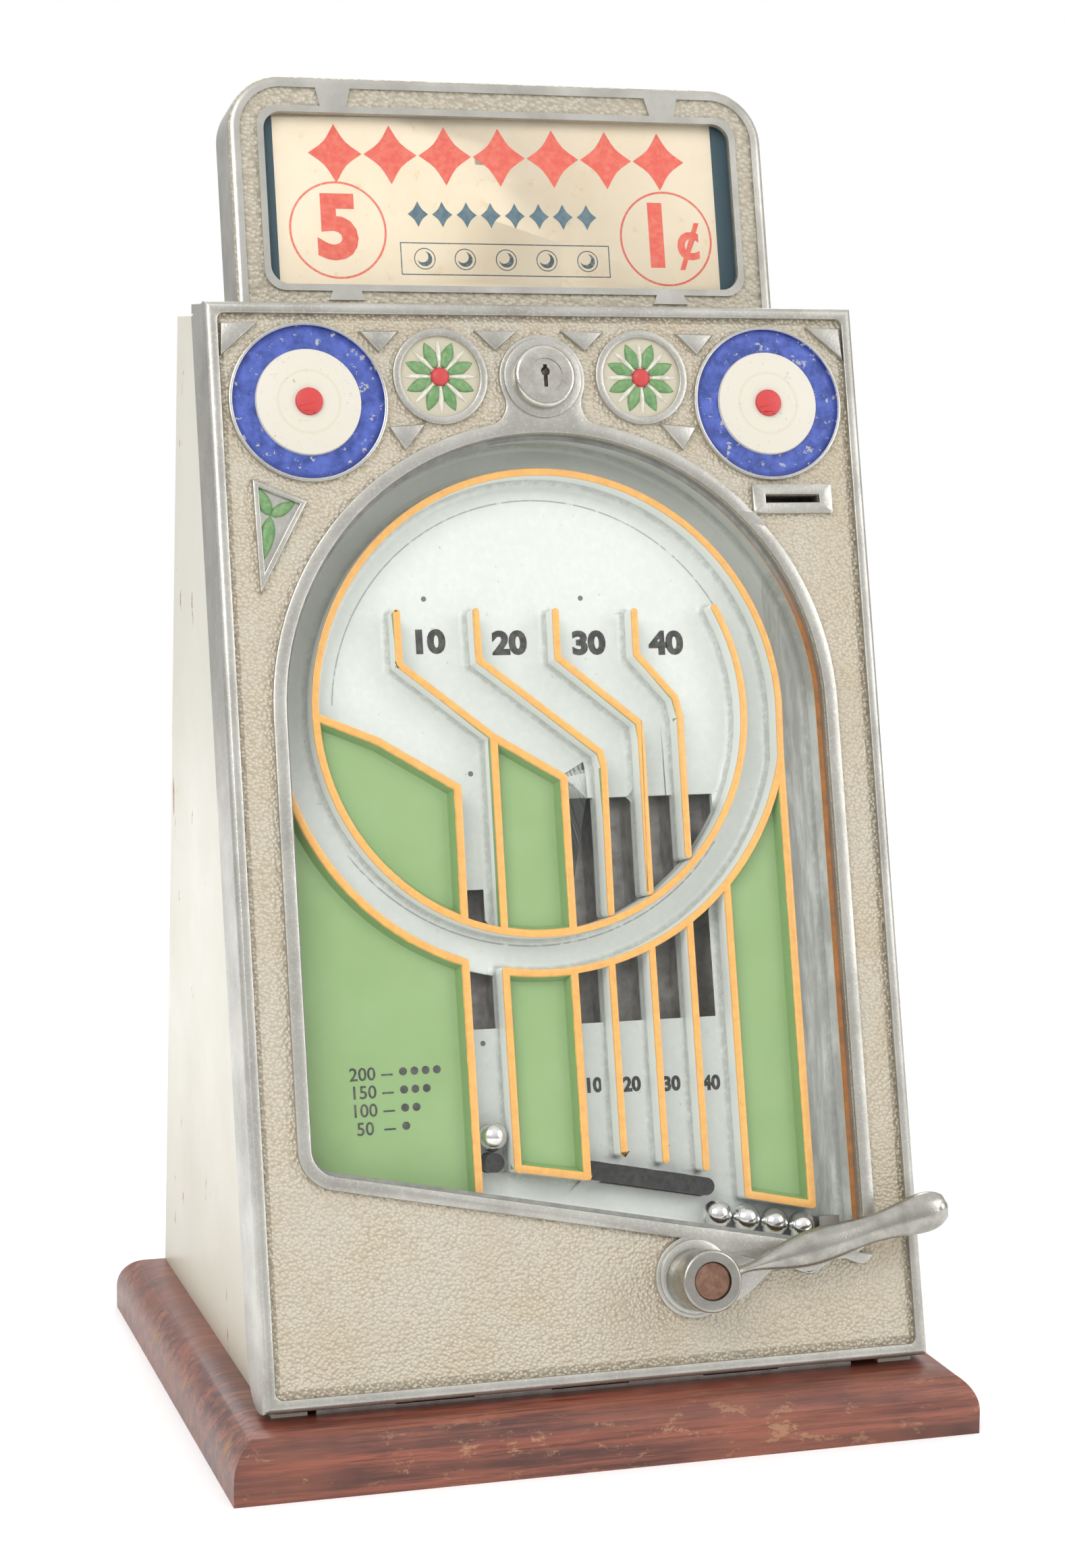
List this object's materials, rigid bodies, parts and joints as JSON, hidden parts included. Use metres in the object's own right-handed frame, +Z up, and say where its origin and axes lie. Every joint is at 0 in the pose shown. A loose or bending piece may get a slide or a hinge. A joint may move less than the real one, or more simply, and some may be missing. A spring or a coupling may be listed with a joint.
{
  "type": "pachinko machine",
  "caption": "Counter-top flip-ball game: leaning cast front with arched window over a spiral ball track and score columns, thumb lever, key lock, sign on top, wood base.",
  "frame": {"origin": "bottom centre of the wood base", "axes": "+Z up, the front with the lever faces -Y, +X to the player's right"},
  "size_m": [0.278, 0.239, 0.4934],
  "materials": {
    "stained_wood": "worn red-brown stain",
    "cream_paint": "chipped cream enamel",
    "cast_aluminium": "stippled casting, rubbed rims, painted ornaments",
    "playfield_paint": "grey-white channels, orange ridges, light green pockets",
    "clear_glass": "clear",
    "steel": "dull zinc",
    "spring_steel": "oiled",
    "rusty_steel": "brown with rust",
    "nickel": "nickel plate",
    "brass_plain": "dull",
    "gasket_rubber": "aged brown",
    "card": "printed cream",
    "board": "grey-brown board",
    "black_paint": "black",
    "ball_steel": "polished"
  },
  "bodies": {
    "cabinet": {"wood_base": "stained_wood", "case_shell": "cream_paint", "back_panel": "cream_paint", "back_panel_screws": "steel", "case_foot_screws": "steel", "cash_tray": "steel", "hinge_base_leaf": "steel", "hinge_pin": "steel", "hinge_base_screws": "steel", "lock_keeper": "steel", "keeper_screws": "steel", "sign_frame": "cast_aluminium", "sign_glass": "clear_glass", "sign_card": "card", "sign_backing": "board", "sign_clips": "steel", "sign_back": "steel", "sign_bolts": "steel"},
    "door": {"front_frame": "cast_aluminium", "hinge_door_leaf": "steel", "hinge_door_screws": "steel", "glass_gasket": "gasket_rubber", "window_glass": "clear_glass", "playfield": "playfield_paint", "playfield_screws": "steel", "tunnel_box": "steel", "tunnel_screws": "steel", "coin_chute": "steel", "chute_screws": "steel", "lock_body": "nickel", "lock_nut": "brass_plain", "lever_bushing": "brass_plain", "bushing_nut": "brass_plain", "lever_stops": "steel", "spring_post": "steel", "gate_guides": "steel", "guide_clips": "steel", "trip_pin": "steel", "trip_bracket": "steel"},
    "lock_turn_body": {"lock_plug": "nickel", "lock_cam": "steel", "lock_cam_screw": "steel"},
    "lever": {"lever_handle": "cast_aluminium", "lever_shaft": "rusty_steel", "kicker_arm": "steel", "shaft_collar": "steel", "return_spring": "spring_steel"},
    "gate": {"gate_bar": "black_paint", "gate_pin": "black_paint", "gate_plate": "steel", "gate_springs": "spring_steel"},
    "trip": {"trip_lever": "brass_plain"},
    "trough_balls": {"trough_balls": "ball_steel"},
    "out_ball": {"out_ball": "ball_steel"}
  },
  "joints": [
    {"name": "door_tilt", "type": "hinge", "parent": "cabinet", "child": "door", "pos_m": [0, -0.0972, 0.0277], "axis": [1, 0, 0], "range_deg": [0, 35]},
    {"name": "lock_turn", "type": "hinge", "parent": "door", "child": "lock_turn_body", "pos_m": [0, -0.01321, 0.3819], "axis": [0, -0.9703, 0.2419], "range_deg": [0, 90]},
    {"name": "lever_press", "type": "hinge", "parent": "door", "child": "lever", "pos_m": [0.036, -0.09368, 0.05918], "axis": [0, -0.9703, 0.2419], "range_deg": [-24, 0], "stiffness_Nm_per_rad": 0.6, "springref_deg": 28.65, "deforming": ["return_spring"]},
    {"name": "gate_slide", "type": "slide", "parent": "door", "child": "gate", "axis": [0, 0.9703, -0.2419], "range_m": [0, 0.008], "stiffness_N_per_m": 120, "springref_m": -0.012, "deforming": ["gate_springs"]},
    {"name": "trip_turn", "type": "hinge", "parent": "door", "child": "trip", "pos_m": [0, -0.03512, 0.11219], "axis": [1, 0, 0], "range_deg": [0, 25.7]},
    {"name": "trough_roll", "type": "slide", "parent": "door", "child": "trough_balls", "axis": [0.9799, -0.0482, -0.1934], "range_m": [-0.03, 0]},
    {"name": "out_ball_roll", "type": "slide", "parent": "door", "child": "out_ball", "axis": [0, 0.2419, 0.9703], "range_m": [0, 0.035]}
  ],
  "couplings": [
    {"joint": "trip_turn", "follows": "gate_slide", "rad_per_m": 56.023}
  ]
}
